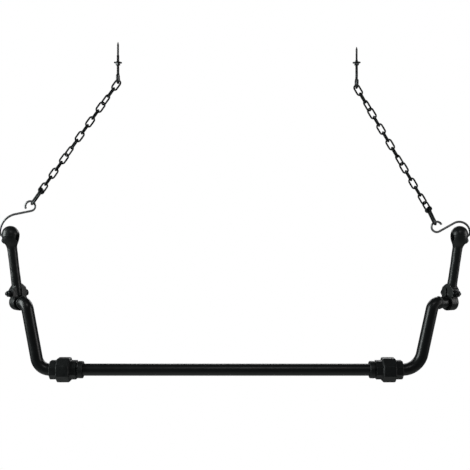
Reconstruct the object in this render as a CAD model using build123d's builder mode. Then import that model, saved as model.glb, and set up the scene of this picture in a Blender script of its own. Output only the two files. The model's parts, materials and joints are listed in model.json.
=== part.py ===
from build123d import *
import os
from math import acos, cos, degrees, radians, sin, sqrt, tan

os.makedirs("parts", exist_ok=True)

# Hanging bar rack: a pipe bar with a union at each end, two bent pipes that rise from the
# unions, two forged link arms clamped on the pipes' upper stubs, and on each arm's ball an
# S-hook, a screw-pin shackle and a chain that leans in to a threaded ceiling hook.
# Millimetres, +Z up, +X along the bar, -Y the front. The origin is in the ceiling plane,
# above the middle of the two balls.

# ---- driving dimensions --------------------------------------------------------------------
# Pipe and rack frame
pipe_radius = 13.45
pipe_wall = 2.65
ball_spacing = 1006.0
eye_drop = 153.0
bar_drop = 149.0
stub_back = 22.0
bar_front = 4.3
elbow_bend = 17.0
stub_radius = 13.0
stub_wall = 3.0
stub_start = 2.5
stub_past_eye = 13.0
# What differs between the two sides, because the bar isn't clamped in the middle
eye_inset = {"left": 13.0, "right": 17.0}
stub_reach = {"left": 24.0, "right": 43.0}
leg_lean = {"left": 10.4, "right": 12.3}
foot_length = {"left": 26.0, "right": 37.0}
foot_bend = {"left": 31.0, "right": 45.0}

# Pipe union, measured from its outer end inward
tail_collar = 15.5
nut_start = 16.0
nut_length = 30.0
nut_flats = 53.0
nut_lip = 5.5
thread_radius = 22.0
collar_flats = 41.0
head_collar = 14.0
groove_width = 2.0
bead_width = 12.0
bead_radius = 19.4
bead_round = 2.2
barrel_radius = 17.0
flange_radius = 20.5
flange_width = 5.5
gasket_thickness = 2.0
gasket_radius = 20.0
waterway_radius = 10.6
pipe_depth = 22.0

# Link arm
ball_radius = 19.5
egg_radius = 45.0
neck_fillet = 20.0
shank_radius = 11.2
shank_waist = 10.7
eye_radius = 19.0
eye_width = 20.0
lug_outer = 15.0
lug_inner = 20.0
lug_top = 29.0
shoulder_top = 42.0
shoulder_flare = 40.0
lug_round = 4.0
eye_flank = 8.0
lug_root = 12.0
slit_width = 3.0
slit_top = 31.5
pinch_rise = 20.5
pinch_radius = 4.0
cross_hole_drop = 6.5
cross_hole_radius = 5.5
cross_hole_flare = 58.0
cross_hole_yaw = 10.0
lip_radius = 10.0
lip_out = 11.5
lip_drop = 5.5

# Pinch bolt
bolt_head_flats = 13.0
bolt_head_height = 5.3
bolt_nut_height = 6.5
bolt_end = 4.5
washer_radius = 8.5
washer_thickness = 1.6

# S-hook rod, with the loop that holds the shackle
rod_radius = 2.5
hook_side = 23.5
hook_bend = 8.0
hook_end = 6.0
crown_bend = {"left": 42.0, "right": 24.2}
crown_turn = {"left": 78.5, "right": 119.3}
rod_straight = {"left": 37.0, "right": 37.6}
loop_radius = {"left": 11.0, "right": 11.6}
loop_turn = {"left": 290.0, "right": 275.0}

# Shackle
bow_wire = 2.5
bow_width = 15.0
bow_length = 34.0
ear_radius = 6.0
ear_thickness = 5.5
pin_radius = 2.5
pin_collar_radius = 4.6
pin_collar = 1.6
pin_tab = 9.0
pin_tab_width = 9.5
pin_tab_thickness = 2.8
shackle_lean = {"left": 35.4, "right": 25.5}
pin_turn = {"left": 25.0, "right": 28.0}

# Chain
link_wire = 2.0
link_width = 4 * link_wire
link_gap = 0.15 * link_wire
link_pitch = 20.2
chain_lean = {"left": 35.4, "right": 30.5}
link_count = {"left": 15, "right": 16}
link_turns = [0, 120, 60, 0, 90, 0, 90]
low_right_turns = {15: -18, 16: 46}

# Ceiling hook
hook_wire = 3.0
hook_radius = 10.0
hook_neck = 5.0
hook_open = 35.0
hook_drop = 43.0
wood_thread_radius = 2.5
wood_thread_length = 30.0
wood_thread_point = 1.2
shank_length = 51.0
hook_nut_flats = 10.0
hook_nut_height = 5.0
hook_washer_radius = 9.0
hook_washer_thickness = 1.6

# Fits
running_gap = 0.3
seat_gap = 0.1
hole_gap = 0.2

sides = {"left": -1, "right": 1}
across_corners = 1 / cos(radians(22.5))
hex_corners = 1 / cos(radians(30))


# ---- helpers -------------------------------------------------------------------------------
def finish(builder, label):
    """Name a finished piece and write it."""
    builder.part.label = label
    export_step(builder.part, f"parts/{label}.step")


def lean_direction(side, lean):
    """Unit vector that rises and leans inward by an angle from the vertical."""
    return Vector(-sides[side] * sin(radians(lean)), 0, cos(radians(lean)))


def side_plane(side, height):
    """Vertical plane through a ball, with local x pointing outward and local y up."""
    return Plane(
        origin=(sides[side] * ball_spacing / 2, 0, height),
        x_dir=(sides[side], 0, 0),
        z_dir=(0, -sides[side], 0),
    )


def hook_points(side):
    """The ends and centres of an S-hook's runs, outward and up from the ball's centre."""
    rod_height = cross_hole_radius - cross_hole_drop - rod_radius - running_gap
    turn = radians(crown_turn[side])
    crown_centre = (hook_side - crown_bend[side], rod_height + hook_bend)
    crown_end = (
        crown_centre[0] + crown_bend[side] * cos(turn),
        crown_centre[1] + crown_bend[side] * sin(turn),
    )
    heading = (-sin(turn), cos(turn))
    straight_end = (
        crown_end[0] + rod_straight[side] * heading[0],
        crown_end[1] + rod_straight[side] * heading[1],
    )
    loop_centre = (
        straight_end[0] + loop_radius[side] * heading[1],
        straight_end[1] - loop_radius[side] * heading[0],
    )
    return rod_height, crown_centre, crown_end, heading, straight_end, loop_centre


def side_layout(side, ball_height):
    """Every contact point on one side, from the ball's hole up to the ceiling hook."""
    outward = sides[side]
    ball = Vector(outward * ball_spacing / 2, 0, ball_height)
    rod_height, _, _, _, _, loop = hook_points(side)
    loop_centre = ball + Vector(outward * loop[0], 0, loop[1])
    shackle_up = lean_direction(side, shackle_lean[side])
    chain_up = lean_direction(side, chain_lean[side])
    loop_inside = loop_radius[side] - rod_radius
    bow_contact = loop_centre + shackle_up * (loop_inside - running_gap / 2)
    pin = bow_contact + shackle_up * bow_length
    pin_contact = pin - chain_up * (pin_radius + running_gap / 2)
    top = pin_contact + chain_up * (link_count[side] * link_pitch)
    return {
        "ball": ball,
        "ball_contact": ball + Vector(0, 0, rod_height + rod_radius + running_gap / 2),
        "bow_contact": bow_contact,
        "pin": pin,
        "pin_contact": pin_contact,
        "top_contact": top,
        "shackle_up": shackle_up,
        "chain_up": chain_up,
    }


# The left ceiling hook sets the height of the balls. The right hook hangs as low as the right
# chain needs, so it is screwed in less far.
ball_height = -hook_drop - side_layout("left", 0)["top_contact"].Z
layout = {side: side_layout(side, ball_height) for side in sides}
eye_height = ball_height - eye_drop
bar_height = eye_height - bar_drop


# ---- rack frame ----------------------------------------------------------------------------
def frame_points(side):
    """The pipe's corner points and the eye's centre on one side."""
    outward = sides[side]
    eye_out = ball_spacing / 2 - eye_inset[side]
    elbow_out = eye_out - stub_reach[side]
    foot_out = elbow_out - bar_drop * tan(radians(leg_lean[side]))
    union_out = foot_out - foot_length[side]
    return {
        "eye": Vector(outward * eye_out, stub_back - bar_front, eye_height),
        "elbow": Vector(outward * elbow_out, -bar_front, eye_height),
        "foot": Vector(outward * foot_out, -bar_front, bar_height),
        "union": Vector(outward * union_out, -bar_front, bar_height),
    }


def tube(path, radius, wall, label):
    """A tube along a path of runs and arcs."""
    with BuildPart() as piece:
        with BuildSketch(Plane(origin=path @ 0, z_dir=path % 0)):
            Circle(radius)
            Circle(radius - wall, mode=Mode.SUBTRACT)
        sweep(path=path)
    finish(piece, label)


union_length = nut_start + nut_length + head_collar + groove_width + bead_width
head_start = nut_start + nut_lip + running_gap + flange_width + gasket_thickness
frame = {side: frame_points(side) for side in sides}

with BuildLine() as bar_line:
    Line(
        frame["left"]["union"] + Vector(head_start + seat_gap, 0, 0),
        frame["right"]["union"] - Vector(head_start + seat_gap, 0, 0),
    )
tube(bar_line.line, pipe_radius, pipe_wall, "straight_pipe")


def bent_pipe(side):
    """The pipe that turns up from the union and ends at the elbow's weld to the stub."""
    corner = frame[side]
    stub_way = (corner["eye"] - corner["elbow"]).normalized()
    inward = Vector(-sides[side], 0, 0)
    leg_way = (corner["elbow"] - corner["foot"]).normalized()
    half_turn = radians(leg_way.get_angle(stub_way)) / 2
    weld = corner["elbow"] + stub_way * (elbow_bend * tan(half_turn) + stub_start)
    with BuildLine() as centre:
        FilletPolyline(
            corner["union"] + inward * (pipe_depth - seat_gap),
            corner["foot"],
            corner["elbow"],
            weld,
            radius=[foot_bend[side], elbow_bend],
        )
    tube(centre.line, pipe_radius, pipe_wall, f"bent_pipe_{side}")
    with BuildLine() as stub_line:
        Line(weld, corner["eye"] + stub_way * stub_past_eye)
    tube(stub_line.line, stub_radius, stub_wall, f"arm_stub_{side}")


# ---- pipe union ----------------------------------------------------------------------------
def union_pieces(side):
    """The tail on the bent pipe, the head on the bar, and the nut and gasket between."""
    start = frame[side]["union"]
    inward = Vector(-sides[side], 0, 0)

    def section(distance):
        return Plane(origin=start + inward * distance, x_dir=(0, 1, 0), z_dir=inward)

    lip_end = nut_start + nut_lip
    flange_start = lip_end + running_gap
    flange_end = flange_start + flange_width
    thread_end = nut_start + nut_length - seat_gap
    octagon = across_corners / 2

    with BuildPart() as tail:
        with BuildSketch(section(0)):
            RegularPolygon(collar_flats * octagon, 8, rotation=22.5)
        extrude(amount=tail_collar)
        chamfer(tail.faces().sort_by(Axis.X)[0 if side == "left" else -1].edges(), 1.5)
        with BuildSketch(section(tail_collar)):
            Circle(barrel_radius)
        extrude(amount=flange_start - tail_collar)
        with BuildSketch(section(flange_start)):
            Circle(flange_radius)
        extrude(amount=flange_width)
        with BuildSketch(section(0)):
            Circle(pipe_radius + seat_gap)
        extrude(amount=pipe_depth, mode=Mode.SUBTRACT)
        with BuildSketch(section(pipe_depth)):
            Circle(waterway_radius)
        extrude(amount=flange_end - pipe_depth, mode=Mode.SUBTRACT)
    finish(tail, f"union_tail_{side}")

    with BuildPart() as gasket:
        with BuildSketch(section(flange_end)):
            Circle(gasket_radius)
            Circle(waterway_radius, mode=Mode.SUBTRACT)
        extrude(amount=gasket_thickness)
    finish(gasket, f"union_gasket_{side}")

    with BuildPart() as nut:
        with BuildSketch(section(nut_start)):
            RegularPolygon(nut_flats * octagon, 8, rotation=22.5)
        extrude(amount=nut_length)
        ends = nut.faces().filter_by(Axis.X)
        chamfer(ends.edges(), 2.2)
        with BuildSketch(section(nut_start)):
            Circle(barrel_radius + hole_gap)
        extrude(amount=nut_lip, mode=Mode.SUBTRACT)
        with BuildSketch(section(lip_end)):
            Circle(thread_radius + seat_gap)
        extrude(amount=nut_length - nut_lip, mode=Mode.SUBTRACT)
    finish(nut, f"union_nut_{side}")

    collar_start = nut_start + nut_length
    bead_start = collar_start + head_collar + groove_width
    with BuildPart() as head:
        with BuildSketch(section(head_start)):
            Circle(thread_radius)
        extrude(amount=thread_end - head_start)
        with BuildSketch(section(thread_end)):
            Circle(barrel_radius)
        extrude(amount=bead_start + bead_width / 2 - thread_end)
        with BuildSketch(section(collar_start)):
            RegularPolygon(collar_flats * octagon, 8, rotation=22.5)
        extrude(amount=head_collar)
        with BuildSketch(section(bead_start)):
            Circle(bead_radius)
        extrude(amount=bead_width)
        rim = head.edges().filter_by(GeomType.CIRCLE)
        rim = rim.filter_by(lambda edge: abs(edge.radius - bead_radius) < 0.01)
        fillet(rim, bead_round)
        with BuildSketch(section(head_start)):
            Circle(pipe_radius + seat_gap)
        extrude(amount=bead_start + bead_width - head_start, mode=Mode.SUBTRACT)
    finish(head, f"union_head_{side}")


# ---- link arm ------------------------------------------------------------------------------
def arm_frame(side):
    """The arm's eye, its ball, the eye's axis, and the way across the pinch."""
    eye = frame[side]["eye"]
    ball = layout[side]["ball"]
    stub_way = (eye - frame[side]["elbow"]).normalized()
    inner_way = Vector(0, 0, 1).cross(stub_way) * -sides[side]
    return eye, ball, stub_way, inner_way


def link_arm(side):
    """Forged arm: split eye below, tapered shank, ball with a flared cross hole on top."""
    eye, ball, stub_way, inner_way = arm_frame(side)
    up = (ball - eye).normalized()
    length = (ball - eye).length
    egg_centre = ball_radius - egg_radius
    fillet_out = shank_radius + neck_fillet
    reach = egg_radius + neck_fillet
    neck_drop = sqrt(reach**2 - (fillet_out - egg_centre) ** 2)
    join = (
        egg_centre + egg_radius * (fillet_out - egg_centre) / reach,
        length - egg_radius * neck_drop / reach,
    )
    across_way = up.cross(stub_way)
    yaw = radians(cross_hole_yaw)
    hole_way = Vector(sides[side] * cos(yaw), sin(yaw), 0)
    hole_centre = ball - Vector(0, 0, cross_hole_drop)
    hole_reach = ball_radius + lip_radius
    mouth = cross_hole_radius + cross_hole_flare - sqrt(cross_hole_flare**2 - hole_reach**2)

    inner = -sides[side]
    shoulder_half = shank_radius - 1.2
    lug_plane = Plane(eye - stub_way * (eye_width / 2), inner_way * inner, stub_way)
    cone_foot = eye_flank - 4
    cone_top = shoulder_top + 1
    cone_reach = shank_radius + (cone_top - cone_foot) * tan(radians(shoulder_flare))
    with BuildPart() as lugs:
        with BuildSketch(lug_plane) as lug:
            Polygon(
                (-inner * lug_outer, eye_flank),
                (-inner * lug_outer, lug_top),
                (-inner * shoulder_half, shoulder_top),
                (inner * shoulder_half, shoulder_top),
                (inner * lug_inner, lug_top),
                (inner * lug_inner, lug_root),
                align=None,
            )
            fillet(lug.vertices().filter_by(lambda corner: abs(corner.Y - lug_top) < 0.01), lug_round)
        extrude(amount=eye_width)
        with BuildSketch(Plane(eye, across_way, across_way.cross(up))):
            Polygon(
                (0, cone_foot),
                (cone_reach, cone_foot),
                (shank_radius, cone_top),
                (0, cone_top),
                align=None,
            )
        revolve(axis=Axis(eye, up), mode=Mode.INTERSECT)

    with BuildPart() as arm:
        with BuildSketch(Plane(eye, across_way, across_way.cross(up))):
            with BuildLine():
                foot = (0, eye_radius * 0.84)
                ring = Line(foot, (shank_radius, foot[1]))
                waist = Line(ring @ 1, (shank_waist, (length + eye_radius) / 2))
                neck = Line(waist @ 1, (shank_radius, length - neck_drop))
                flare = RadiusArc(neck @ 1, join, neck_fillet)
                egg = RadiusArc(flare @ 1, (ball_radius, length), -egg_radius)
                dome = RadiusArc(egg @ 1, (0, length + ball_radius), -ball_radius)
                Line(dome @ 1, foot)
            make_face()
        revolve(axis=Axis(eye, up))
        lip_centre = hole_centre + hole_way * lip_out - Vector(0, 0, lip_drop)
        with Locations(lip_centre):
            Sphere(lip_radius)

        with BuildSketch(Plane(origin=eye - stub_way * (eye_width / 2), z_dir=stub_way)):
            Circle(eye_radius)
        extrude(amount=eye_width)
        add(lugs.part)

        with BuildSketch(Plane(origin=eye - stub_way * eye_width, z_dir=stub_way)):
            Circle(stub_radius + seat_gap)
        extrude(amount=eye_width * 2, mode=Mode.SUBTRACT)
        with BuildSketch(Plane(eye - stub_way * eye_width, inner_way * inner, stub_way)):
            with Locations((0, slit_top / 2)):
                Rectangle(slit_width, slit_top)
        extrude(amount=eye_width * 2, mode=Mode.SUBTRACT)
        pinch_centre = eye + Vector(0, 0, pinch_rise)
        with BuildSketch(Plane(origin=pinch_centre - inner_way * 40, z_dir=inner_way)):
            Circle(pinch_radius + hole_gap)
        extrude(amount=80, mode=Mode.SUBTRACT)

        with BuildSketch(Plane(hole_centre, hole_way, hole_way.cross(Vector(0, 0, 1)))):
            with BuildLine():
                near = (-hole_reach, mouth)
                far = (hole_reach, mouth)
                wall = ThreePointArc(near, (0, cross_hole_radius), far)
                Polyline(wall @ 1, (hole_reach, 0), (-hole_reach, 0), wall @ 0)
            make_face()
        revolve(axis=Axis(hole_centre, hole_way), mode=Mode.SUBTRACT)
    finish(arm, f"link_arm_{side}")


def pinch_fasteners():
    """The two pinch bolts, their nuts, and a washer under each head and nut."""
    with BuildPart() as bolts:
        for side in sides:
            eye, _, _, inner_way = arm_frame(side)
            centre = eye + Vector(0, 0, pinch_rise)
            head = centre - inner_way * (lug_outer + washer_thickness + bolt_head_height)
            grip = lug_outer + lug_inner + 2 * washer_thickness + bolt_nut_height + bolt_end
            with BuildSketch(Plane(origin=head, z_dir=inner_way)):
                RegularPolygon(bolt_head_flats * hex_corners / 2, 6)
            extrude(amount=bolt_head_height)
            with BuildSketch(Plane(origin=head + inner_way * bolt_head_height, z_dir=inner_way)):
                Circle(pinch_radius)
            extrude(amount=grip)
    finish(bolts, "pinch_bolts")

    with BuildPart() as nuts:
        for side in sides:
            eye, _, _, inner_way = arm_frame(side)
            seat = eye + Vector(0, 0, pinch_rise) + inner_way * (lug_inner + washer_thickness)
            with BuildSketch(Plane(origin=seat, z_dir=inner_way)):
                RegularPolygon(bolt_head_flats * hex_corners / 2, 6)
                Circle(pinch_radius + seat_gap, mode=Mode.SUBTRACT)
            extrude(amount=bolt_nut_height)
    finish(nuts, "pinch_nuts")

    with BuildPart() as washers:
        for side in sides:
            eye, _, _, inner_way = arm_frame(side)
            centre = eye + Vector(0, 0, pinch_rise)
            for seat in (-lug_outer - washer_thickness, lug_inner):
                with BuildSketch(Plane(origin=centre + inner_way * seat, z_dir=inner_way)):
                    Circle(washer_radius)
                    Circle(pinch_radius + hole_gap, mode=Mode.SUBTRACT)
                extrude(amount=washer_thickness)
    finish(washers, "pinch_washers")


# ---- S-hook, shackle and chain ---------------------------------------------------------------
def s_hook(side):
    """One bent rod: its end lies in the ball's cross hole, its loop holds the shackle."""
    rod_height, _, _, _, _, _ = hook_points(side)
    with BuildLine(side_plane(side, ball_height)) as centre:
        start = Line((-hook_end, rod_height), (hook_side - hook_bend, rod_height))
        bend = JernArc(start @ 1, start % 1, hook_bend, 90)
        crown = JernArc(bend @ 1, bend % 1, crown_bend[side], crown_turn[side])
        straight = Line(crown @ 1, (crown @ 1) + (crown % 1) * rod_straight[side])
        JernArc(straight @ 1, straight % 1, loop_radius[side], -loop_turn[side])
    with BuildPart() as hook:
        with BuildSketch(Plane(origin=centre.line @ 0, z_dir=centre.line % 0)):
            Circle(rod_radius)
        sweep(path=centre.line)
    finish(hook, f"s_hook_{side}")


def shackle(side):
    """Bow with two ears, and the screw pin with its collar and tab."""
    up = layout[side]["shackle_up"]
    pin = layout[side]["pin"]
    turn = radians(pin_turn[side])
    flat = Vector(0, 1, 0).cross(up)
    pin_way = (Vector(0, -1, 0) * cos(turn) + flat * sin(turn) * -sides[side]).normalized()
    bend = bow_width / 2 + bow_wire
    leg_length = bow_length - bow_width / 2
    normal = up.cross(pin_way)

    with BuildPart() as bow:
        bend_centre = pin - up * leg_length
        with BuildSketch(Plane(origin=bend_centre, x_dir=pin_way, z_dir=up)):
            with Locations((bend, 0), (-bend, 0)):
                Circle(bow_wire)
        extrude(amount=leg_length)
        with BuildSketch(Plane(origin=bend_centre, x_dir=pin_way, z_dir=up)):
            with Locations((bend, 0)):
                Circle(bow_wire)
        revolve(axis=Axis(bend_centre, normal), revolution_arc=180)
        for ear_middle in (bend, -bend):
            ear_start = ear_middle - ear_thickness / 2
            with BuildSketch(Plane(origin=pin + pin_way * ear_start, z_dir=pin_way)):
                Circle(ear_radius)
            extrude(amount=ear_thickness)
        with BuildSketch(Plane(origin=pin - pin_way * 2 * bend, z_dir=pin_way)):
            Circle(pin_radius + seat_gap)
        extrude(amount=4 * bend, mode=Mode.SUBTRACT)
    finish(bow, f"shackle_bow_{side}")

    outer = bend + ear_thickness / 2
    with BuildPart() as screw_pin:
        with BuildSketch(Plane(origin=pin - pin_way * (outer + 1.5), z_dir=pin_way)):
            Circle(pin_radius)
        extrude(amount=2 * outer + 1.5)
        with BuildSketch(Plane(origin=pin + pin_way * outer, z_dir=pin_way)):
            Circle(pin_collar_radius)
        extrude(amount=pin_collar)
        tab = Plane(
            origin=pin + pin_way * (outer + pin_collar) - normal * (pin_tab_thickness / 2),
            x_dir=pin_way,
            z_dir=normal,
        )
        with BuildSketch(tab):
            with Locations((pin_tab / 2 - 0.5, 0)):
                RectangleRounded(pin_tab + 1, pin_tab_width, 3.6)
            with Locations((pin_tab * 0.45, 0)):
                Circle(1.9, mode=Mode.SUBTRACT)
        extrude(amount=pin_tab_thickness)
    finish(screw_pin, f"shackle_pin_{side}")


def chain_link(centre, along, turn, label):
    """One welded link, with its plane turned about the chain by an angle."""
    face = Vector(0, -1, 0) * cos(turn) + along.cross(Vector(0, -1, 0)) * sin(turn)
    across = along.cross(face)
    bend = link_width / 2 + link_wire
    straight = (link_pitch + link_gap) / 2 - link_width / 2
    with BuildPart() as link:
        with BuildSketch(Plane(origin=centre - along * straight, x_dir=across, z_dir=along)):
            with Locations((bend, 0), (-bend, 0)):
                Circle(link_wire)
        extrude(amount=2 * straight)
        for end in (1, -1):
            crown = centre + along * straight * end
            with BuildSketch(Plane(origin=crown, x_dir=across, z_dir=along)):
                with Locations((bend, 0)):
                    Circle(link_wire)
            revolve(axis=Axis(crown, across.cross(along) * end), revolution_arc=180)
    finish(link, label)


def chain(side):
    """The links from the ceiling hook down to the shackle's pin."""
    along = layout[side]["chain_up"]
    top = layout[side]["top_contact"]
    for number in range(1, link_count[side] + 1):
        turn = link_turns[(number - 1) % len(link_turns)]
        if side == "right":
            turn = low_right_turns.get(number, turn)
        centre = top - along * (number - 0.5) * link_pitch
        chain_link(centre, along, radians(turn) * -sides[side], f"chain_link_{side}_{number:02d}")


# ---- ceiling hooks ---------------------------------------------------------------------------
def hook_base(side):
    """The centre of the ceiling hook's round part."""
    along = layout[side]["chain_up"]
    wire = layout[side]["top_contact"] - along * (hook_wire + running_gap / 2)
    return wire + Vector(0, 0, hook_radius)


def ceiling_hook(side):
    """Round hook with a neck, a machine thread for its nut, and a wood thread above that."""
    round_centre = hook_base(side)
    neck_turn = acos(hook_neck / (hook_neck + hook_radius))
    neck_start = round_centre.Z + (hook_neck + hook_radius) * sin(neck_turn)
    side_view = Plane(origin=(round_centre.X, 0, 0), x_dir=(0, 1, 0), z_dir=(1, 0, 0))
    with BuildLine(side_view) as centre:
        stem = Line((0, round_centre.Z + shank_length), (0, neck_start))
        neck = JernArc(stem @ 1, stem % 1, hook_neck, degrees(neck_turn))
        JernArc(neck @ 1, neck % 1, hook_radius, -(degrees(neck_turn) + 180 + hook_open))
    with BuildPart() as hook:
        with BuildSketch(Plane(origin=centre.line @ 0, z_dir=centre.line % 0)):
            Circle(hook_wire)
        sweep(path=centre.line)
        with BuildSketch(Plane(origin=centre.line @ 0)):
            Circle(wood_thread_radius)
        extrude(amount=wood_thread_length)
        tip = hook.faces().sort_by(Axis.Z)[-1]
        chamfer(tip.edges(), wood_thread_point)
    finish(hook, f"ceiling_hook_{side}")


def ceiling_fasteners():
    """The washer against the ceiling and the nut under it, on each hook's thread."""
    with BuildPart() as washers:
        for side in sides:
            with BuildSketch(Plane(origin=(hook_base(side).X, 0, -hook_washer_thickness))):
                Circle(hook_washer_radius)
                Circle(hook_wire + hole_gap, mode=Mode.SUBTRACT)
            extrude(amount=hook_washer_thickness)
    finish(washers, "ceiling_washers")

    with BuildPart() as nuts:
        for side in sides:
            low = -hook_washer_thickness - hook_nut_height
            with BuildSketch(Plane(origin=(hook_base(side).X, 0, low))):
                RegularPolygon(hook_nut_flats * hex_corners / 2, 6)
                Circle(hook_wire + seat_gap, mode=Mode.SUBTRACT)
            extrude(amount=hook_nut_height)
    finish(nuts, "ceiling_nuts")


for side in sides:
    bent_pipe(side)
    union_pieces(side)
    link_arm(side)
    s_hook(side)
    shackle(side)
    chain(side)
    ceiling_hook(side)
pinch_fasteners()
ceiling_fasteners()
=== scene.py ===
import json
from math import acos, cos, pi, radians, sin, sqrt, tan

import bpy
from mathutils import Matrix, Vector, noise


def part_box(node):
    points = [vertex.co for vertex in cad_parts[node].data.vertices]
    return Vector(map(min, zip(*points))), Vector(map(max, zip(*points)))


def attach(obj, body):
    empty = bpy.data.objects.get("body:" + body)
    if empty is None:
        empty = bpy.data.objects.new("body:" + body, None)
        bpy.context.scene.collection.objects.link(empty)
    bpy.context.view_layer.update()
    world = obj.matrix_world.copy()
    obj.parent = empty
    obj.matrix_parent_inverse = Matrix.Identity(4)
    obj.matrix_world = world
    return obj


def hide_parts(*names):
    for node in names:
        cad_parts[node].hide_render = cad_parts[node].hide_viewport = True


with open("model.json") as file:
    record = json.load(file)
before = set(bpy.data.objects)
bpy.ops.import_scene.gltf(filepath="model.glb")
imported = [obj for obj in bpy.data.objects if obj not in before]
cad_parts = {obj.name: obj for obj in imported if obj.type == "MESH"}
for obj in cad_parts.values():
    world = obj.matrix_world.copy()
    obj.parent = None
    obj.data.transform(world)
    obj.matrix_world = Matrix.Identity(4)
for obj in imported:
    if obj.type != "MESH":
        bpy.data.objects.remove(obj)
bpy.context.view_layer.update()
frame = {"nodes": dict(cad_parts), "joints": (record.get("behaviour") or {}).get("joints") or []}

# Looks for the chain-hung pipe rack. Metres, +Z up, +X along the bar, -Y the front.
# Sizes that the CAD holds are repeated here as the same named values.
MM = 0.001
SIDES = {"left": -1, "right": 1}
BELL_BASE = 2.718  # the bell curves of the arm's ridges and of the weld collars on the links

ball_spacing = 1006 * MM
eye_drop, bar_drop, stub_back, bar_front = 153 * MM, 149 * MM, 22 * MM, 4.3 * MM
eye_inset = {"left": 13 * MM, "right": 17 * MM}
stub_reach = {"left": 24 * MM, "right": 43 * MM}
leg_lean = {"left": radians(10.4), "right": radians(12.3)}
elbow_bend, stub_start, stub_radius = 17 * MM, 2.5 * MM, 13 * MM
pinch_rise, lug_outer, lug_inner = 20.5 * MM, 15 * MM, 20 * MM
cross_hole_drop = 6.5 * MM

rod_radius, hook_side, hook_bend, hook_end = 2.5 * MM, 23.5 * MM, 8 * MM, 6 * MM
rod_height = -3.8 * MM
crown_bend = {"left": 42 * MM, "right": 24.2 * MM}
crown_turn = {"left": radians(78.5), "right": radians(119.3)}
rod_straight = {"left": 37 * MM, "right": 37.6 * MM}
loop_radius = {"left": 11 * MM, "right": 11.6 * MM}
loop_turn = {"left": radians(290), "right": radians(275)}

link_wire, link_width, running_gap = 2 * MM, 8 * MM, 0.3 * MM
link_count = {"left": 15, "right": 16}
link_turns = [0, 120, 60, 0, 90, 0, 90]
low_right_turns = {15: -18, 16: 46}

hook_wire, hook_radius, hook_neck, hook_open = 3 * MM, 10 * MM, 5 * MM, radians(35)
shank_length, thread_length, thread_radius = 51 * MM, 30 * MM, 2.5 * MM
washer_thickness, nut_height = 1.6 * MM, 5 * MM

joints = {joint["name"]: joint for joint in frame["joints"]}
X, Y, Z = Vector((1, 0, 0)), Vector((0, 1, 0)), Vector((0, 0, 1))


def joint_place(name):
    return Vector(joints[name]["pos_m"])


# ---- meshes ----------------------------------------------------------------------------------
def new_piece(name, body, slot, mesh, material, *nodes):
    """Puts a finished mesh in the scene: on its body, for its CAD nodes, in its material."""
    piece = bpy.data.objects.new(name, mesh)
    bpy.context.scene.collection.objects.link(piece)
    mesh.materials.clear()
    mesh.materials.append(material)
    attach(piece, body)
    if nodes:
        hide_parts(*nodes)
    return piece


def mesh_of(name, points, faces, sharp=40):
    """A smooth-shaded mesh whose edges stay crisp past an angle in degrees."""
    mesh = bpy.data.meshes.new(name)
    mesh.from_pydata([tuple(p) for p in points], [], faces)
    mesh.update()
    mesh.shade_smooth()
    mesh.set_sharp_from_angle(angle=radians(sharp))
    return mesh


def trace(start, heading, normal, moves):
    """Points, headings and distances along lines and arcs that lie in one plane.
    A move is (length, step) for a line, or (radius, turn, step) for an arc."""
    place, way, gone = Vector(start), Vector(heading).normalized(), 0.0
    rows = [(place.copy(), way.copy(), gone)]
    for move in moves:
        if len(move) == 2:
            length, step = move
            count = max(1, round(length / step))
            for _ in range(count):
                place = place + way * (length / count)
                gone += length / count
                rows.append((place.copy(), way.copy(), gone))
        else:
            radius, turn, step = move
            sign = 1 if turn > 0 else -1
            centre = place + normal.cross(way) * radius * sign
            count = max(2, round(abs(turn) * radius / step))
            turned = Matrix.Rotation(turn / count, 3, normal)
            for _ in range(count):
                place = centre + turned @ (place - centre)
                way = turned @ way
                gone += abs(turn) * radius / count
                rows.append((place.copy(), way.copy(), gone))
    return rows


def rod(name, rows, normal, radius, around=20, closed=False, end_round=0.0, sharp=40):
    """A round rod along traced rows. radius(distance, angle) gives its size there."""
    total = rows[-1][2]
    rows = rows[:-1] if closed else rows
    points, faces = [], []
    for place, way, gone in rows:
        side = way.cross(normal)
        shrink = 1.0
        if end_round:
            near = min(gone, total - gone)
            if near < end_round:
                shrink = sqrt(max(0.0, 1 - (1 - near / end_round) ** 2)) * 0.45 + 0.55
        for k in range(around):
            angle = 2 * pi * k / around
            size = radius(gone, angle) * shrink
            points.append(place + (side * cos(angle) + normal * sin(angle)) * size)
    count = len(rows)
    for i in range(count if closed else count - 1):
        a, b = i * around, (i + 1) % count * around
        for k in range(around):
            n = (k + 1) % around
            faces.append((a + k, a + n, b + n, b + k))
    if not closed:
        faces.append(tuple(range(around)))
        faces.append(tuple(reversed(range((count - 1) * around, count * around))))
    return mesh_of(name, points, faces, sharp)


def turned(name, base, axis, across, profile, flats=None, around=96, sharp=32):
    """A solid turned from a closed profile of (height, radius) corners. With flats, as
    (across-flats, sides), every corner marked True in the profile is cut to that polygon."""
    side = across.normalized()
    other = axis.cross(side)
    points, faces = [], []
    for corner in profile:
        height, radius = corner[0], corner[1]
        for k in range(around):
            angle = 2 * pi * k / around
            size = radius
            if flats and len(corner) == 3:
                sector = 2 * pi / flats[1]
                size = min(size, flats[0] / 2 / cos((angle + sector / 2) % sector - sector / 2))
            points.append(base + axis * height + (side * cos(angle) + other * sin(angle)) * size)
    count = len(profile)
    for i in range(count):
        a, b = i * around, (i + 1) % count * around
        for k in range(around):
            n = (k + 1) % around
            faces.append((a + k, a + n, b + n, b + k))
    return mesh_of(name, points, faces, sharp)


def joined(name, *meshes):
    """Several meshes as one."""
    points, faces = [], []
    for mesh in meshes:
        start = len(points)
        points += [vertex.co.copy() for vertex in mesh.vertices]
        faces += [tuple(start + i for i in face.vertices) for face in mesh.polygons]
    return mesh_of(name, points, faces)


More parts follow.
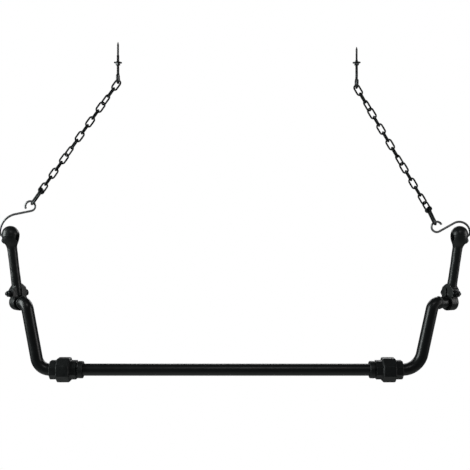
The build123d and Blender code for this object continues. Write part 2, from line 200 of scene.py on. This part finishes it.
def softened(name, node, voxel, passes, relief):
    """A CAD node's shape with the rounded corners and the uneven skin of a forging or casting.
    relief(place, normal) gives how far each point stands out from the CAD surface."""
    source = bpy.data.objects.new(name + "_source", frame["nodes"][node].data.copy())
    bpy.context.scene.collection.objects.link(source)
    remesh = source.modifiers.new("remesh", "REMESH")
    remesh.mode = "VOXEL"
    remesh.voxel_size = voxel
    smooth = source.modifiers.new("smooth", "SMOOTH")
    smooth.factor = 0.5
    smooth.iterations = passes
    seen = source.evaluated_get(bpy.context.evaluated_depsgraph_get())
    mesh = bpy.data.meshes.new_from_object(seen)
    mesh.name = name
    bpy.data.objects.remove(source)
    normals = [vertex.normal.copy() for vertex in mesh.vertices]
    for vertex, normal in zip(mesh.vertices, normals):
        vertex.co += normal * relief(vertex.co, normal)
    mesh.update()
    mesh.shade_smooth()
    return mesh


def uneven(scale, amount, seed):
    """Soft unevenness: a relief of an amount in metres, with bumps of a size in metres."""
    shift = Vector((seed * 3.1, seed * 1.7, seed * 2.3))

    def relief(place, normal):
        return amount * (noise.noise(place / scale + shift) - 0.5)

    return relief


# ---- materials ---------------------------------------------------------------------------------
class Shader:
    """A small builder for a Principled material's nodes."""

    def __init__(self, name):
        self.material = bpy.data.materials.new(name)
        self.material.use_nodes = True
        self.tree = self.material.node_tree
        self.surface = self.tree.nodes["Principled BSDF"]
        self.place = self.tree.nodes.new("ShaderNodeTexCoord").outputs["Object"]

    def node(self, kind, **inputs):
        made = self.tree.nodes.new(kind)
        for key, value in inputs.items():
            self.feed(made.inputs[key.replace("_", " ")], value)
        return made

    def feed(self, socket, value):
        if isinstance(value, bpy.types.NodeSocket):
            self.tree.links.new(value, socket)
        else:
            socket.default_value = value

    def stretched(self, scale):
        """The object's coordinates, scaled apart along each axis."""
        return self.node("ShaderNodeMapping", Vector=self.place, Scale=scale).outputs["Vector"]

    def noise(self, scale, detail=4.0, roughness=0.55, where=None, distortion=0.0):
        made = self.node(
            "ShaderNodeTexNoise", Vector=where or self.place, Scale=scale, Detail=detail,
            Roughness=roughness, Distortion=distortion,
        )
        return made.outputs["Fac"]

    def ramp(self, value, *stops):
        made = self.node("ShaderNodeValToRGB", Fac=value)
        ramp = made.color_ramp
        for index, (place, colour) in enumerate(stops):
            stop = ramp.elements[index] if index < 2 else ramp.elements.new(place)
            stop.position = place
            stop.color = (*colour, 1) if isinstance(colour, tuple) else (colour, colour, colour, 1)
        return made.outputs["Color"]

    def mix(self, share, first, second):
        made = self.tree.nodes.new("ShaderNodeMix")
        made.data_type = "RGBA"
        self.feed(made.inputs[0], share)
        for socket, value in ((made.inputs[6], first), (made.inputs[7], second)):
            self.feed(socket, (*value, 1) if isinstance(value, tuple) else value)
        return made.outputs[2]

    def maths(self, kind, first, second=0.0, clamp=False):
        made = self.tree.nodes.new("ShaderNodeMath")
        made.operation = kind
        made.use_clamp = clamp
        self.feed(made.inputs[0], first)
        self.feed(made.inputs[1], second)
        return made.outputs[0]

    def worn_edges(self, low, high, patch_scale):
        """0 on flat skin and 1 on the rubbed outer edges, broken up in patches."""
        edge = self.tree.nodes.new("ShaderNodeNewGeometry").outputs["Pointiness"]
        edge = self.ramp(edge, (low, 0.0), (high, 1.0))
        patch = self.ramp(self.noise(patch_scale, 5.0, 0.6), (0.42, 0.0), (0.62, 1.0))
        return self.maths("MULTIPLY", edge, patch, clamp=True)

    def bump(self, height, strength, distance, onto=None):
        made = self.node("ShaderNodeBump", Strength=strength, Distance=distance, Height=height)
        if onto is not None:
            self.feed(made.inputs["Normal"], onto)
        return made.outputs["Normal"]

    def finish(self, colour, roughness, normal, **values):
        self.feed(self.surface.inputs["Base Color"], colour)
        self.feed(self.surface.inputs["Roughness"], roughness)
        self.feed(self.surface.inputs["Normal"], normal)
        for key, value in values.items():
            self.surface.inputs[key.replace("_", " ")].default_value = value
        return self.material


def black_pipe():
    """Black lacquer on drawn pipe: fine draw lines, orange peel and faint clouding."""
    s = Shader("black_pipe_lacquer")
    cloud = s.noise(18.0, 5.0, 0.6)
    lines = s.noise(900.0, 2.0, 0.5, where=s.stretched((0.02, 1.0, 0.25)))
    peel = s.noise(1400.0, 2.0, 0.5)
    colour = s.ramp(cloud, (0.3, (0.0022, 0.003, 0.0035)), (0.75, (0.0055, 0.0075, 0.0078)))
    dust = s.ramp(s.noise(120.0, 6.0, 0.7), (0.6, 0.0), (0.85, 0.1))
    colour = s.mix(dust, colour, (0.014, 0.016, 0.016))
    rough = s.ramp(s.noise(60.0, 6.0, 0.65), (0.3, 0.3), (0.75, 0.42))
    normal = s.bump(lines, 0.1, 0.0002)
    normal = s.bump(peel, 0.15, 0.00015, normal)
    return s.finish(colour, rough, normal, Coat_Weight=0.15, Coat_Roughness=0.28)


def cast_iron():
    """Black painted casting: sandy grain, soft dents and paint worn off the corners."""
    s = Shader("cast_iron_black")
    grain = s.noise(850.0, 4.0, 0.65)
    dents = s.noise(150.0, 3.0, 0.5)
    cloud = s.noise(45.0, 4.0, 0.6)
    colour = s.ramp(cloud, (0.3, (0.003, 0.0038, 0.0042)), (0.75, (0.009, 0.011, 0.0112)))
    worn = s.worn_edges(0.57, 0.66, 220.0)
    colour = s.mix(worn, colour, (0.05, 0.049, 0.047))
    rough = s.ramp(s.noise(230.0, 5.0, 0.7), (0.3, 0.36), (0.75, 0.56))
    normal = s.bump(grain, 0.35, 0.0003)
    normal = s.bump(dents, 0.25, 0.0008, normal)
    return s.finish(colour, rough, normal, Coat_Weight=0.12, Coat_Roughness=0.35)


def forged_iron():
    """Black painted forging: hammer-soft skin, streaks along the shank, and grey-green painted sheen in those
    streaks that stands in for reflected light.
    """
    s = Shader("forged_iron_black")
    streak = s.noise(420.0, 4.0, 0.6, where=s.stretched((1.0, 1.0, 0.08)))
    skin = s.noise(260.0, 4.0, 0.55)
    fine = s.noise(1300.0, 2.0, 0.5)
    cloud = s.noise(32.0, 5.0, 0.62, distortion=0.4)
    colour = s.ramp(cloud, (0.28, (0.003, 0.004, 0.0045)), (0.7, (0.009, 0.012, 0.0118)))
    # Grey-green painted sheen: reflected light painted into the colour along the shank's streaks.
    painted_sheen = s.ramp(streak, (0.55, 0.0), (0.8, 0.35))
    colour = s.mix(painted_sheen, colour, (0.022, 0.027, 0.026))
    worn = s.worn_edges(0.57, 0.66, 180.0)
    colour = s.mix(worn, colour, (0.06, 0.06, 0.058))
    rough = s.ramp(skin, (0.3, 0.32), (0.75, 0.5))
    normal = s.bump(streak, 0.14, 0.0004)
    normal = s.bump(skin, 0.28, 0.0005, normal)
    normal = s.bump(fine, 0.15, 0.00015, normal)
    return s.finish(colour, rough, normal, Coat_Weight=0.2, Coat_Roughness=0.3)


def dulled_steel(name, dark, light, rough_low, rough_high, grain_scale, bright_edge):
    """Bare or blackened steel: die lines, mottled oxide and bright rubbed spots."""
    s = Shader(name)
    mottle = s.noise(grain_scale, 6.0, 0.7)
    fine = s.noise(2600.0, 2.0, 0.5)
    pits = s.noise(900.0, 5.0, 0.7)
    colour = s.ramp(mottle, (0.32, dark), (0.72, light))
    worn = s.worn_edges(0.53, 0.6, grain_scale * 1.5)
    colour = s.mix(worn, colour, bright_edge)
    rough = s.ramp(pits, (0.3, rough_low), (0.75, rough_high))
    normal = s.bump(pits, 0.16, 0.0001)
    normal = s.bump(fine, 0.12, 0.00006, normal)
    return s.finish(colour, rough, normal, Metallic=1.0)


def gasket_fibre():
    """Dark matt fibre sheet."""
    s = Shader("gasket_fibre")
    fleck = s.noise(1200.0, 4.0, 0.7)
    colour = s.ramp(fleck, (0.35, (0.018, 0.018, 0.018)), (0.7, (0.05, 0.046, 0.042)))
    return s.finish(colour, s.ramp(fleck, (0.3, 0.75), (0.7, 0.95)), s.bump(fleck, 0.4, 0.0003))


def weld_metal():
    """Painted weld bead, lighter and grainier than the pipe."""
    s = Shader("weld_bead_paint")
    cloud = s.noise(260.0, 4.0, 0.6)
    colour = s.ramp(cloud, (0.3, (0.02, 0.024, 0.024)), (0.72, (0.06, 0.066, 0.064)))
    rough = s.ramp(s.noise(500.0, 3.0, 0.6), (0.3, 0.28), (0.75, 0.42))
    return s.finish(colour, rough, s.bump(s.noise(1500.0, 3.0, 0.6), 0.3, 0.0002), Coat_Weight=0.3,
                    Coat_Roughness=0.25)


PIPE, CAST, FORGED, GASKET, WELD = black_pipe(), cast_iron(), forged_iron(), gasket_fibre(), weld_metal()
HOOK_STEEL = dulled_steel(
    "hook_rod_steel", (0.24, 0.24, 0.245), (0.5, 0.5, 0.51), 0.3, 0.48, 140.0, (0.62, 0.62, 0.63))
SHACKLE_STEEL = dulled_steel(
    "shackle_blackened_steel", (0.03, 0.033, 0.034), (0.085, 0.09, 0.092), 0.28, 0.48, 180.0,
    (0.24, 0.24, 0.245))
CHAIN_STEEL = dulled_steel(
    "chain_blackened_steel", (0.022, 0.024, 0.025), (0.07, 0.074, 0.076), 0.3, 0.5, 240.0,
    (0.22, 0.22, 0.225))
FASTENER_STEEL = dulled_steel(
    "fastener_blackened_steel", (0.02, 0.022, 0.023), (0.06, 0.064, 0.066), 0.3, 0.5, 300.0,
    (0.2, 0.2, 0.205))
CEILING_STEEL = dulled_steel(
    "ceiling_hook_steel", (0.05, 0.052, 0.054), (0.13, 0.133, 0.137), 0.28, 0.46, 200.0,
    (0.3, 0.3, 0.305))


# ---- rack --------------------------------------------------------------------------------------
def frame_points(side):
    """The eye's centre, the elbow's and the foot's corners and the ball's centre, as in the CAD."""
    outward = SIDES[side]
    ball_height = joint_place("swing_rack").z - (rod_height + rod_radius + running_gap / 2)
    eye_out = ball_spacing / 2 - eye_inset[side]
    elbow_out = eye_out - stub_reach[side]
    foot_out = elbow_out - bar_drop * tan(leg_lean[side])
    eye = Vector((outward * eye_out, stub_back - bar_front, ball_height - eye_drop))
    elbow = Vector((outward * elbow_out, -bar_front, eye.z))
    foot = Vector((outward * foot_out, -bar_front, eye.z - bar_drop))
    ball = Vector((outward * ball_spacing / 2, 0, ball_height))
    return eye, elbow, foot, ball


def arm_frame(side):
    eye, elbow, _, _ = frame_points(side)
    stub_way = (eye - elbow).normalized()
    inner_way = Z.cross(stub_way) * -SIDES[side]
    return eye, stub_way, inner_way


def pipes():
    """The pipes keep their CAD shape. A rippled weld bead joins each elbow to its stub."""
    for node in ("straight_pipe", "bent_pipe_left", "bent_pipe_right", "arm_stub_left", "arm_stub_right"):
        frame["nodes"][node].data.materials.clear()
        frame["nodes"][node].data.materials.append(PIPE)
    for side in SIDES:
        eye, elbow, foot, _ = frame_points(side)
        stub_way = (eye - elbow).normalized()
        half_turn = (elbow - foot).angle(stub_way) / 2
        weld = elbow + stub_way * (elbow_bend * tan(half_turn) + stub_start)
        bead_radius, ripple_pitch, swell_length = 1.5 * MM, 1.5 * MM, 6 * MM
        ring = stub_radius + 0.2 * MM
        start = weld + stub_way.cross(Z) * ring
        rows = trace(start, stub_way.cross(start - weld), stub_way, [(ring, 2 * pi, 0.45 * MM)])

        def ripple(gone, angle):
            scallop = abs(sin(gone / ripple_pitch * pi))
            swell = noise.noise(Vector((gone / swell_length, 0, SIDES[side])))
            return bead_radius * (0.84 + 0.22 * scallop + 0.16 * swell)

        mesh = rod(f"weld_bead_{side}", rows, stub_way, ripple, around=14, closed=True, sharp=80)
        new_piece(f"weld_bead_{side}", "rack", "black_pipe", mesh, WELD)


def unions():
    """Cast union parts, with rounded corners and an uneven skin."""
    for side in SIDES:
        for order, kind in enumerate(("union_tail", "union_nut", "union_head")):
            node = f"{kind}_{side}"
            relief = uneven(9 * MM, 0.28 * MM, order + 5 * SIDES[side])
            mesh = softened(f"{kind}_casting_{side}", node, 0.6 * MM, 4, relief)
            new_piece(f"{kind}_casting_{side}", "rack", "cast_iron", mesh, CAST, node)
        frame["nodes"][f"union_gasket_{side}"].data.materials.clear()
        frame["nodes"][f"union_gasket_{side}"].data.materials.append(GASKET)


def arms():
    """Forged arms: blended shoulders, a parting ridge up the shank and a ring round the ball."""
    for side in SIDES:
        eye, stub_way, inner_way = arm_frame(side)
        _, _, _, ball = frame_points(side)
        up = (ball - eye).normalized()
        ring_way = (Z + X * 0.12 * SIDES[side]).normalized()
        skin = uneven(14 * MM, 0.3 * MM, 3 * SIDES[side])
        small = uneven(4 * MM, 0.12 * MM, 7 * SIDES[side])
        ridge_width, ridge_rise = 0.8 * MM, 0.35 * MM
        seam_foot, seam_top, ring_drop = 50 * MM, eye_drop - 30 * MM, cross_hole_drop * 0.4

        def relief(place, normal):
            out = skin(place, normal) + small(place, normal)
            from_eye = place - eye
            height = from_eye.dot(up)
            if height > seam_foot and height < seam_top:
                offset = from_eye.dot(stub_way) - height * up.dot(stub_way)
                out += ridge_rise * 0.6 * BELL_BASE ** (-(offset / ridge_width) ** 2)
            if height > seam_top:
                offset = (place - ball).dot(ring_way) + ring_drop
                out += ridge_rise * BELL_BASE ** (-(offset / ridge_width) ** 2)
            return out

        node = f"link_arm_{side}"
        mesh = softened(f"arm_forging_{side}", node, 0.6 * MM, 9, relief)
        new_piece(f"arm_forging_{side}", "rack", "forged_iron", mesh, FORGED, node)


def thread(major, pitch, depth):
    """A helical thread's radius, with slightly flattened crests and roots."""
    flank_slope, crest_flat = 2.6, 0.15

    def radius(gone, angle):
        phase = (gone / pitch - angle / (2 * pi)) % 1.0
        ramp = min(1.0, max(0.0, abs(phase - 0.5) * flank_slope - crest_flat))
        return major - depth * ramp

    return radius


def hex_nut(name, base, axis, across, flats, height, bore):
    """A hexagon nut with cone-chamfered corners and a countersunk bore."""
    corner = flats / 2 / cos(pi / 6)
    chamfer = corner - flats / 2 + 0.15 * MM
    drop = chamfer * tan(radians(30))
    sink = 0.5 * MM
    profile = [
        (0, bore + sink), (0, corner - chamfer, True), (drop * 0.5, corner - chamfer * 0.5, True),
        (drop, corner, True), (height / 2, corner, True), (height - drop, corner, True),
        (height - drop * 0.5, corner - chamfer * 0.5, True), (height, corner - chamfer, True),
        (height, bore + sink), (height - sink, bore), (sink, bore),
    ]
    return turned(name, base, axis, across, profile, flats=(flats, 6))


def bolt_head(name, base, axis, across, flats, height):
    """A hexagon head with a chamfered, slightly dished top. Its flat seat is at the base."""
    corner = flats / 2 / cos(pi / 6)
    chamfer = corner - flats / 2 + 0.2 * MM
    drop = chamfer * tan(radians(30))
    tip = 0.05 * MM
    profile = [
        (0, tip), (0, corner - 0.3 * MM, True), (0.3 * MM, corner, True), (height - drop, corner, True),
        (height - drop * 0.5, corner - chamfer * 0.5, True), (height, corner - chamfer, True),
        (height - 0.25 * MM, flats * 0.36), (height - 0.3 * MM, tip),
    ]
    return turned(name, base, axis, across, profile, flats=(flats, 6))


def washer(name, base, axis, across, outer, bore, thickness):
    """A stamped washer: the edges of one face are eased, and the other's outer edge slightly."""
    soft = 0.35 * MM
    profile = [
        (0, bore), (0, outer - 0.1 * MM), (0.1 * MM, outer), (thickness - soft, outer),
        (thickness - soft * 0.3, outer - soft * 0.3), (thickness, outer - soft), (thickness, bore + soft),
        (thickness - soft, bore),
    ]
    return turned(name, base, axis, across, profile)


def pinch_fasteners():
    """Bolt, nut and two washers through each arm's lugs."""
    flats, head_height, bolt_radius, nut_tall = 13 * MM, 5.3 * MM, 4 * MM, 6.5 * MM
    bolt_end, washer_outer = 4.5 * MM, 8.5 * MM
    bolt_pitch, bolt_thread_depth, plain_short = 1.25 * MM, 0.62 * MM, 8 * MM
    head_tilt, washer_bore = radians(17), 4.2 * MM
    plain_step, thread_step = 3 * MM, 0.16 * MM
    bolts, nuts, washers = [], [], []
    for side in SIDES:
        eye, stub_way, inner_way = arm_frame(side)
        centre = eye + Z * pinch_rise
        tilt = (Z * cos(head_tilt) + stub_way * sin(head_tilt)) if side == "left" else Z
        seat = centre - inner_way * (lug_outer + washer_thickness)
        bolts.append(bolt_head(f"head_{side}", seat, -inner_way, tilt, flats, head_height))
        length = lug_outer + lug_inner + 2 * washer_thickness + nut_tall + bolt_end
        plain = lug_outer + lug_inner - plain_short
        cut = thread(bolt_radius, bolt_pitch, bolt_thread_depth)

        def shank(gone, angle):
            return bolt_radius if gone < plain else cut(gone, angle)

        rows = trace(seat, inner_way, Z, [(plain, plain_step), (length - plain, thread_step)])
        bolts.append(rod(f"shank_{side}", rows, Z, shank, around=32, end_round=0.9 * MM))
        nut_seat = centre + inner_way * (lug_inner + washer_thickness)
        bore = bolt_radius - 0.3 * MM
        nuts.append(hex_nut(f"nut_{side}", nut_seat, inner_way, tilt, flats, nut_tall, bore))
        for place, way in ((seat + inner_way * washer_thickness, -inner_way),
                           (centre + inner_way * lug_inner, inner_way)):
            washers.append(
                washer(f"washer_{side}", place, way, Z, washer_outer, washer_bore, washer_thickness))
    sets = (
        ("pinch_bolt_set", "pinch_bolts", bolts),
        ("pinch_nut_set", "pinch_nuts", nuts),
        ("pinch_washer_set", "pinch_washers", washers),
    )
    for name, node, meshes in sets:
        new_piece(name, "rack", "fastener_steel", joined(name, *meshes), FASTENER_STEEL, node)


# ---- hooks, shackles and chain -------------------------------------------------------------------
def s_hooks():
    """Bent rod with sheared, slightly rounded ends."""
    for side in SIDES:
        _, _, _, ball = frame_points(side)
        outward = X * SIDES[side]
        normal = -Y * SIDES[side]
        step = 0.9 * MM
        moves = [
            (hook_end + hook_side - hook_bend, step), (hook_bend, pi / 2, step * 0.6),
            (crown_bend[side], crown_turn[side], step), (rod_straight[side], step),
            (loop_radius[side], -loop_turn[side], step * 0.6),
        ]
        rows = trace(ball - outward * hook_end + Z * rod_height, outward, normal, moves)

        def radius(gone, angle):
            draw = noise.noise(Vector((gone / (9 * MM), cos(angle) * 2, sin(angle) * 2 + SIDES[side])))
            return rod_radius - 0.03 * MM + draw * 0.06 * MM

        mesh = rod(f"s_hook_rod_{side}", rows, normal, radius, around=28, end_round=0.8 * MM)
        new_piece(f"s_hook_rod_{side}", f"hook_{side}", "hook_steel", mesh, HOOK_STEEL, f"s_hook_{side}")


def shackles():
    """Forged bows with eyes that flow into their legs, and screw pins with flat tabs."""
    for side in SIDES:
        bow = softened(f"bow_forging_{side}", f"shackle_bow_{side}", 0.3 * MM, 7,
                       uneven(3 * MM, 0.1 * MM, SIDES[side]))
        new_piece(f"bow_forging_{side}", f"shackle_{side}", "shackle_steel", bow, SHACKLE_STEEL,
                  f"shackle_bow_{side}")
        pin = softened(f"screw_pin_{side}", f"shackle_pin_{side}", 0.22 * MM, 5,
                       uneven(3 * MM, 0.05 * MM, 2 * SIDES[side]))
        new_piece(f"screw_pin_{side}", f"shackle_{side}", "shackle_steel", pin, SHACKLE_STEEL,
                  f"shackle_pin_{side}")


def chains():
    """Welded links: round wire with a flash weld's collar on one straight side."""
    straight_step, bend_step = 0.8 * MM, 0.85 * MM
    collar_length, collar_rise, dent_length = 1.1 * MM, 0.26 * MM, 4 * MM
    for side in SIDES:
        top = joint_place(f"swing_{side}_chain")
        step_down = (joint_place(f"swing_{side}_pin") - top) / link_count[side]
        along = -step_down.normalized()
        pitch = step_down.length
        for number in range(1, link_count[side] + 1):
            turn = link_turns[(number - 1) % len(link_turns)]
            if side == "right":
                turn = low_right_turns.get(number, turn)
            turn = radians(turn) * -SIDES[side]
            face = -Y * cos(turn) + along.cross(-Y) * sin(turn)
            across = along.cross(face)
            if number % 3 == 1:
                across = -across
            centre = top + step_down * (number - 0.5)
            bend = link_width / 2 + link_wire
            straight = (pitch + running_gap) - link_width
            normal = across.cross(along)
            start = centre + across * bend
            moves = [
                (straight / 2, straight_step), (bend, pi, bend_step), (straight, straight_step),
                (bend, pi, bend_step), (straight / 2, straight_step),
            ]
            rows = trace(start, along, normal, moves)
            total = rows[-1][2]
            phase = number * 1.7 + SIDES[side]

            def radius(gone, angle):
                weld = min(gone, total - gone) / collar_length
                collar = collar_rise * BELL_BASE ** (-weld ** 2) * (0.7 + 0.3 * cos(angle))
                dent = noise.noise(Vector((gone / dent_length, cos(angle) + phase, sin(angle))))
                return link_wire - 0.04 * MM + collar + dent * 0.07 * MM

            name = f"welded_link_{side}_{number:02d}"
            mesh = rod(name, rows, normal, radius, around=18, closed=True, sharp=80)
            body = "link_right_16" if (side, number) == ("right", 16) else f"chain_{side}"
            new_piece(name, body, "chain_steel", mesh, CHAIN_STEEL, f"chain_link_{side}_{number:02d}")


# ---- ceiling hooks ---------------------------------------------------------------------------------
def ceiling_hooks():
    """Hook with a coarse wood thread, a machine thread for its nut and a plain round hook."""
    machine_below = 24 * MM
    wood_pitch, wood_depth, machine_pitch, machine_depth = 2.3 * MM, 0.7 * MM, 1.0 * MM, 0.5 * MM
    nut_flats, nut_bore, washer_outer, washer_bore = 10 * MM, 2.75 * MM, 9 * MM, 3.2 * MM
    taper_length, wood_runout, machine_runout = 7 * MM, 2.5 * MM, 2 * MM
    wood_step, machine_step, plain_step, bend_step = 0.24 * MM, 0.13 * MM, 1.5 * MM, 0.7 * MM
    for side in SIDES:
        low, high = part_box(f"ceiling_hook_{side}")
        x = (low.x + high.x) / 2
        hook_low = low.z + hook_wire
        round_z = hook_low + hook_radius
        neck_turn = acos(hook_neck / (hook_neck + hook_radius))
        neck_z = round_z + (hook_neck + hook_radius) * sin(neck_turn)
        thread_base = round_z + shank_length
        machine_length = thread_base + machine_below
        plain_length = -machine_below - neck_z
        wood = thread(thread_radius, wood_pitch, wood_depth)
        machine = thread(hook_wire, machine_pitch, machine_depth)

        def radius(gone, angle):
            if gone < thread_length:
                taper = min(1.0, 0.25 + gone / taper_length)
                runout = min(1.0, (thread_length - gone) / wood_runout)
                cut = thread_radius - (thread_radius - wood(gone, angle)) * runout
                return cut * taper
            if gone < thread_length + machine_length:
                runout = min(1.0, (thread_length + machine_length - gone) / machine_runout)
                return hook_wire - (hook_wire - machine(gone, angle)) * runout
            return hook_wire - 0.02 * MM

        start = Vector((x, 0, thread_base + thread_length))
        moves = [
            (thread_length, wood_step), (machine_length, machine_step), (plain_length, plain_step),
            (hook_neck, neck_turn, bend_step), (hook_radius, -(neck_turn + pi + hook_open), bend_step),
        ]
        rows = trace(start, -Z, X, moves)
        mesh = rod(f"threaded_hook_{side}", rows, X, radius, around=28, end_round=0.9 * MM)
        new_piece(f"threaded_hook_{side}", "ceiling", "ceiling_steel", mesh, CEILING_STEEL,
                  f"ceiling_hook_{side}")
    places = [
        (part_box(f"ceiling_hook_{side}")[0].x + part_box(f"ceiling_hook_{side}")[1].x) / 2
        for side in SIDES
    ]
    nuts = [
        hex_nut(f"hook_nut_{k}", Vector((x, 0, -washer_thickness)), -Z, X, nut_flats, nut_height, nut_bore)
        for k, x in enumerate(places)
    ]
    washers = [
        washer(f"hook_washer_{k}", Vector((x, 0, 0)), -Z, X, washer_outer, washer_bore, washer_thickness)
        for k, x in enumerate(places)
    ]
    new_piece("hook_nut_set", "ceiling", "ceiling_steel", joined("hook_nut_set", *nuts), CEILING_STEEL,
              "ceiling_nuts")
    new_piece("hook_washer_set", "ceiling", "ceiling_steel", joined("hook_washer_set", *washers),
              CEILING_STEEL, "ceiling_washers")


# ---- room ----------------------------------------------------------------------------------------------
def room():
    """A pale floor well below the rack, and a surround that looks white but gives little light."""
    floor_z, half, surround_light = -2.4, 3.4, 0.07
    corners = [(-half, -half, floor_z), (half, -half, floor_z), (half, half, floor_z), (-half, half, floor_z)]
    mesh = mesh_of("floor", corners, [(0, 1, 2, 3)])
    floor = bpy.data.objects.new("floor", mesh)
    bpy.context.scene.collection.objects.link(floor)
    s = Shader("pale_floor")
    plaster = s.noise(3.0, 6.0, 0.6)
    colour = s.ramp(plaster, (0.3, (0.8, 0.8, 0.79)), (0.7, (0.86, 0.86, 0.85)))
    mesh.materials.append(s.finish(colour, 0.7, s.bump(plaster, 0.1, 0.01)))

    world = bpy.data.worlds.new("surround")
    world.use_nodes = True
    bpy.context.scene.world = world
    tree = world.node_tree
    shown, lit = tree.nodes["Background"], tree.nodes.new("ShaderNodeBackground")
    shown.inputs["Color"].default_value = (1, 1, 1, 1)
    shown.inputs["Strength"].default_value = 1.0
    lit.inputs["Color"].default_value = (0.93, 1.0, 1.0, 1)
    lit.inputs["Strength"].default_value = surround_light
    ray, mix = tree.nodes.new("ShaderNodeLightPath"), tree.nodes.new("ShaderNodeMixShader")
    tree.links.new(ray.outputs["Is Camera Ray"], mix.inputs[0])
    tree.links.new(lit.outputs[0], mix.inputs[1])
    tree.links.new(shown.outputs[0], mix.inputs[2])
    tree.links.new(mix.outputs[0], tree.nodes["World Output"].inputs["Surface"])


def softbox(name, place, target, width, height, power, colour):
    light = bpy.data.lights.new(name, "AREA")
    light.shape = "RECTANGLE"
    light.size, light.size_y = width, height
    light.energy = power
    light.color = colour
    lamp = bpy.data.objects.new(name, light)
    lamp.location = place
    lamp.rotation_euler = (Vector(target) - Vector(place)).to_track_quat("-Z", "Y").to_euler()
    bpy.context.scene.collection.objects.link(lamp)


def lights():
    softbox("key", (-2.2, -0.5, 0.0), (-0.3, 0, -0.5), 0.8, 1.6, 34, (0.93, 1.0, 0.98))
    softbox("fill", (2.3, -0.3, -0.2), (0.3, 0, -0.5), 0.5, 1.4, 9, (1.0, 0.99, 0.98))
    softbox("front", (0.2, -2.2, 1.6), (0, 0, -0.45), 0.9, 0.5, 5, (1, 1, 1))
    softbox("back", (0.2, 2.2, 0.4), (0, 0, -0.45), 1.6, 0.8, 12, (1, 1, 1))


def camera():
    """In front of the rack, level with the balls."""
    distance, height, view_width, film = 1.62, -0.387, 1.053, 36
    lens = bpy.data.cameras.new("camera")
    lens.sensor_width = film
    lens.lens = film * distance / view_width
    lens.clip_end = 40
    cam = bpy.data.objects.new("camera", lens)
    cam.location = (0, -distance, height)
    cam.rotation_euler = (pi / 2, 0, 0)
    bpy.context.scene.collection.objects.link(cam)
    bpy.context.scene.camera = cam


camera()
lights()
room()
pipes()
unions()
arms()
pinch_fasteners()
s_hooks()
shackles()
chains()
ceiling_hooks()
bpy.context.scene.view_settings.view_transform = "Standard"
